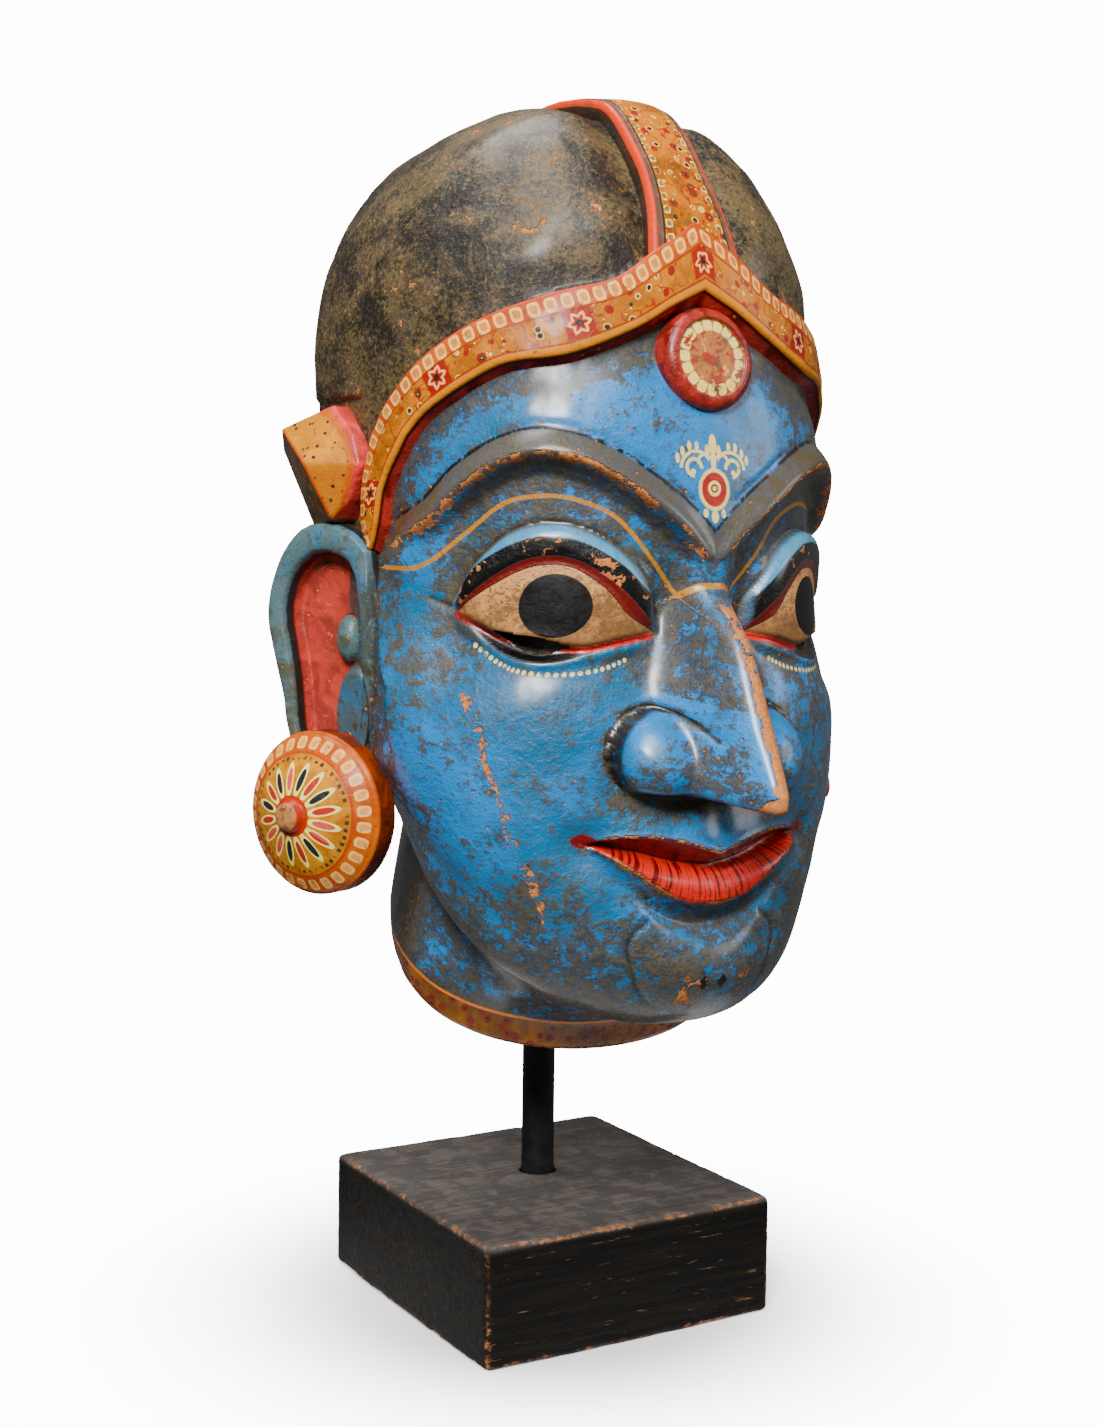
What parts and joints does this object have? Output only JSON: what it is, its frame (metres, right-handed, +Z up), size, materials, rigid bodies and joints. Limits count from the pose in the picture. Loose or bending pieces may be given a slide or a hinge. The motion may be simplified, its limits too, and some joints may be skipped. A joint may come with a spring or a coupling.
{
  "type": "carved wooden deity mask on a block stand",
  "caption": "Carved and painted wooden mask of a blue deity, hollow behind, with headband, ears and ear ornaments, held upright by a steel rod on a square wooden block.",
  "frame": {"origin": "centre of the square block's underside", "axes": "+Z up, the face looks along -Y, and +X is to the right of someone who looks at the face"},
  "size_m": [0.2666, 0.2314, 0.4981],
  "materials": {
    "painted_wood": "old glossy paint, worn to the wood on edges",
    "painted_ear_wood": "old glossy paint, worn to the wood on edges",
    "black_steel": "matte black",
    "stained_wood": "dark stain, rubbed at the edges"
  },
  "bodies": {
    "root": {"mask": "painted_wood", "ear_left": "painted_ear_wood", "ear_right": "painted_ear_wood", "rod": "black_steel", "base_block": "stained_wood"}
  },
  "joints": []
}
